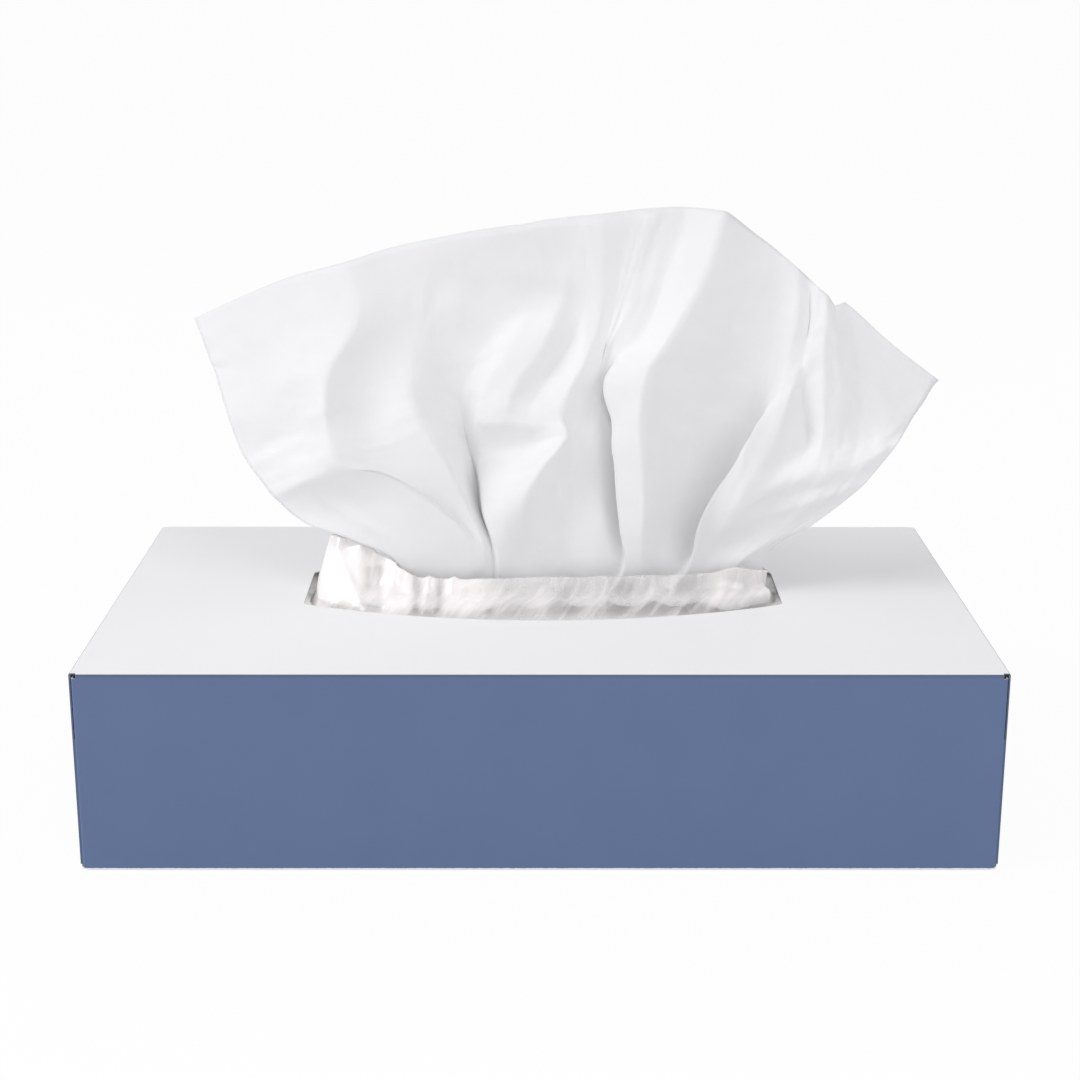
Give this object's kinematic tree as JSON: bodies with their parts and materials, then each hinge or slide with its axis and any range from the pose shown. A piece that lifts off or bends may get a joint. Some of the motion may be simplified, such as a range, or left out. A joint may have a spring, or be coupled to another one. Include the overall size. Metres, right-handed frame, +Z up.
{
  "type": "tissue box",
  "caption": "Flat carton of facial tissues with a bowed dispensing opening, a slit clear film and one crumpled tissue drawn up through it.",
  "frame": {"origin": "middle of the carton's bottom, on the surface it stands on", "axes": "+X along the carton, +Y towards its back, +Z up"},
  "size_m": [0.225, 0.13, 0.1536],
  "materials": {
    "carton_board": "matt coated board, blue sides and white top",
    "clear_film": "thin clear film, crinkled",
    "stacked_tissue": "soft white tissue, folded",
    "drawn_tissue": "soft white tissue, crumpled"
  },
  "bodies": {
    "root": {"carton": "carton_board", "window_film": "clear_film", "tissue_stack": "stacked_tissue", "popup_tissue": "drawn_tissue"}
  },
  "joints": []
}
